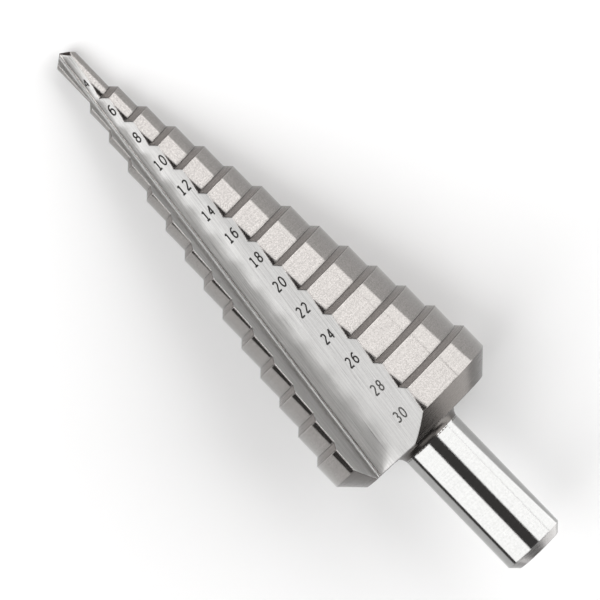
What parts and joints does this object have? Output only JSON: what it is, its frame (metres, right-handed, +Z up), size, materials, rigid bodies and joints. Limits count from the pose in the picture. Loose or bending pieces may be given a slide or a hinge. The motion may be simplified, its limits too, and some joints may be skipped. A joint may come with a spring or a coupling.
{
  "type": "step drill",
  "caption": "Stepped cone drill bit in bright steel with straight flutes and a plain round shank, for opening out holes in sheet metal.",
  "frame": {"origin": "bottom centre of the bounding box, on the surface that the drill lies on", "axes": "+Z up; +X runs along the drill from the point towards the shank, which is in the air, tilted up from +X because the drill lies on its cone; one flute faces down and the numbered flute faces up"},
  "size_m": [0.0998, 0.0294, 0.0266],
  "materials": {
    "ground_steel": "bright ground high-speed steel"
  },
  "bodies": {
    "root": {"step_drill": "ground_steel"}
  },
  "joints": []
}
